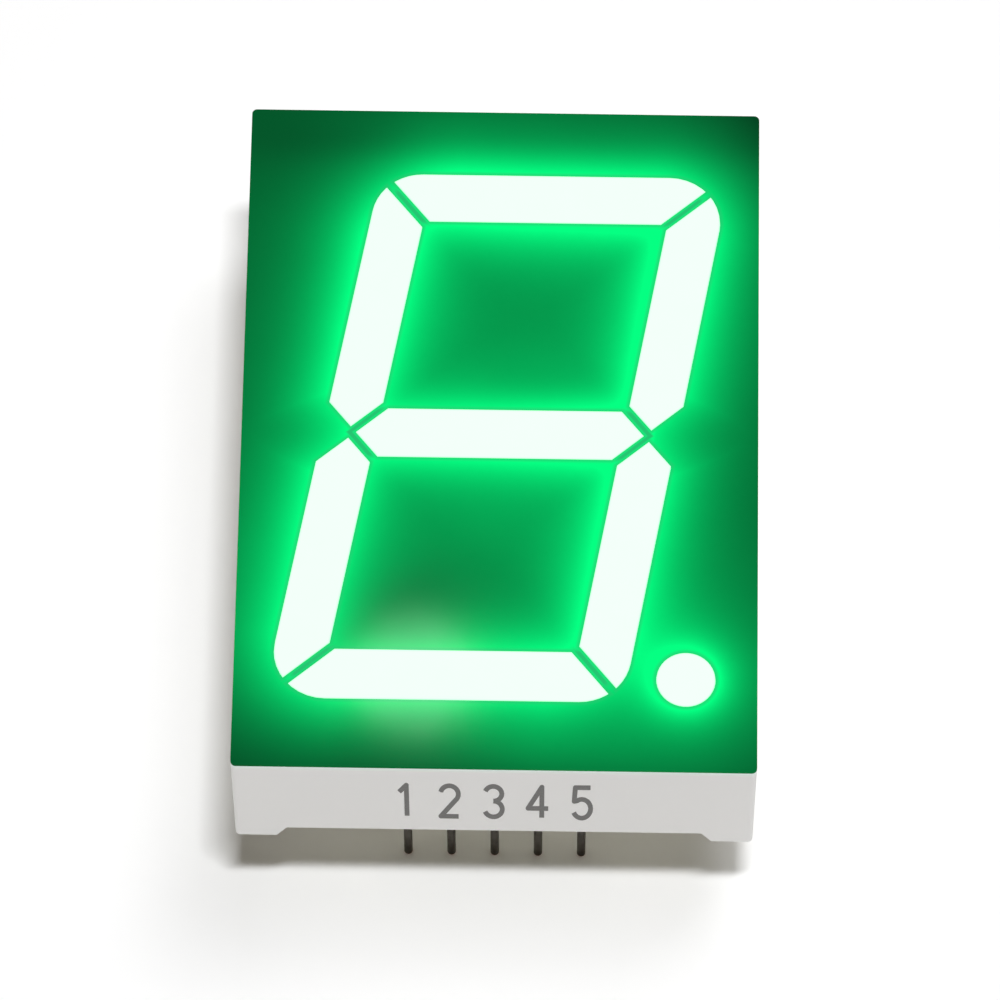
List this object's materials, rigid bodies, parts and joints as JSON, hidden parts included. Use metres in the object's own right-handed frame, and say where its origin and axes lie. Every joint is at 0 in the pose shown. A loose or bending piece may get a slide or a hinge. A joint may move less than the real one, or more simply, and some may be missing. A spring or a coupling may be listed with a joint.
{
  "type": "seven segment display",
  "caption": "Single-digit seven segment display with a slanted digit and decimal point, white shell, black face and two rows of round pins.",
  "frame": {"origin": "under the middle of the body, at the height of the pin tips", "axes": "+X across the digit to the right, +Y up the digit, +Z out of the face"},
  "size_m": [0.03, 0.0424, 0.017],
  "materials": {
    "white_shell": "white moulded plastic with a fine matt grain",
    "black_face": "black satin film",
    "lit_segment": "milky cast resin, lit from behind",
    "board": "white lacquered laminate",
    "copper": "thin copper foil",
    "die": "polished crystal",
    "gold": "drawn gold wire",
    "solder": "bright solder",
    "cream_resin": "smooth milky resin, settled level",
    "tinned_pin": "dull tin plate"
  },
  "bodies": {
    "root": {"housing": "white_shell", "face_film": "black_face", "segment_a": "lit_segment", "segment_b": "lit_segment", "segment_c": "lit_segment", "segment_d": "lit_segment", "segment_e": "lit_segment", "segment_f": "lit_segment", "segment_g": "lit_segment", "decimal_point": "lit_segment", "circuit_board": "board", "copper_tracks": "copper", "leds_a": "die", "leds_b": "die", "leds_c": "die", "leds_d": "die", "leds_e": "die", "leds_f": "die", "leds_g": "die", "led_point": "die", "bond_wires": "gold", "solder_joints": "solder", "potting": "cream_resin", "pin_1": "tinned_pin", "pin_2": "tinned_pin", "pin_3": "tinned_pin", "pin_4": "tinned_pin", "pin_5": "tinned_pin", "pin_6": "tinned_pin", "pin_7": "tinned_pin", "pin_8": "tinned_pin", "pin_9": "tinned_pin", "pin_10": "tinned_pin"}
  },
  "joints": []
}
